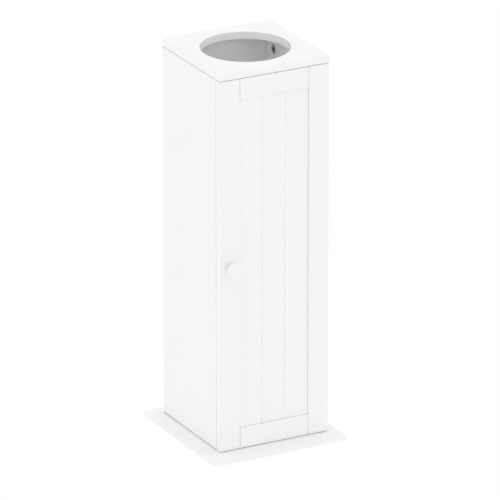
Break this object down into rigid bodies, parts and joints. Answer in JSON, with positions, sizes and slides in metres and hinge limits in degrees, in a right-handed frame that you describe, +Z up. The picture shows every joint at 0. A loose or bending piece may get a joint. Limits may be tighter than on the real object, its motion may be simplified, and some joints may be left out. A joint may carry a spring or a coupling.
{
  "type": "toilet roll storage cabinet",
  "caption": "Slim upright floor cabinet with a framed, grooved door hinged on its right, a turned knob and a round hole in the top to drop toilet rolls into.",
  "frame": {"origin": "on the floor, under the middle of the whole object's box, with the knob and the hinge barrels counted in", "axes": "+Z up; the door faces -Y; its hinges are on +X and its knob is towards -X"},
  "size_m": [0.1898, 0.208, 0.606],
  "materials": {
    "painted_board": "satin white paint on fibreboard",
    "painted_door": "satin white paint on fibreboard",
    "painted_hardboard": "white lacquer on hardboard",
    "painted_knob": "satin white paint on turned wood",
    "cam_zinc": "die-cast zinc, dull",
    "plated_steel": "bright zinc plating",
    "hinge_nickel": "satin nickel plating",
    "beech": "bare beech",
    "pad_felt": "pressed grey felt",
    "catch_plastic": "white moulded plastic",
    "magnet_ferrite": "dark sintered ferrite"
  },
  "bodies": {
    "carcass": {"top_panel": "painted_board", "left_side_panel": "painted_board", "right_side_panel": "painted_board", "bottom_panel": "painted_board", "back_panel": "painted_hardboard", "floor_pads": "pad_felt", "top_cam_locks": "cam_zinc", "bottom_cam_locks": "cam_zinc", "top_cam_dowels": "plated_steel", "bottom_cam_dowels": "plated_steel", "top_wood_dowels": "beech", "bottom_wood_dowels": "beech", "catch_body": "catch_plastic", "catch_magnet": "magnet_ferrite", "catch_pole_plates": "plated_steel", "catch_screws": "plated_steel", "lower_hinge_side_leaf": "hinge_nickel", "lower_hinge_pin": "hinge_nickel", "upper_hinge_side_leaf": "hinge_nickel", "upper_hinge_pin": "hinge_nickel", "side_hinge_screws": "plated_steel"},
    "door": {"door_left_stile": "painted_door", "door_right_stile": "painted_door", "door_top_rail": "painted_door", "door_bottom_rail": "painted_door", "door_panel": "painted_door", "knob": "painted_knob", "knob_screw": "plated_steel", "strike_plate": "plated_steel", "strike_screw": "plated_steel", "lower_hinge_door_leaf": "hinge_nickel", "upper_hinge_door_leaf": "hinge_nickel", "door_hinge_screws": "plated_steel"}
  },
  "joints": [
    {"name": "door_hinge", "type": "hinge", "parent": "carcass", "child": "door", "pos_m": [0.0927, -0.0685, 0.2972], "axis": [0, 0, 1], "range_deg": [0, 180]}
  ]
}
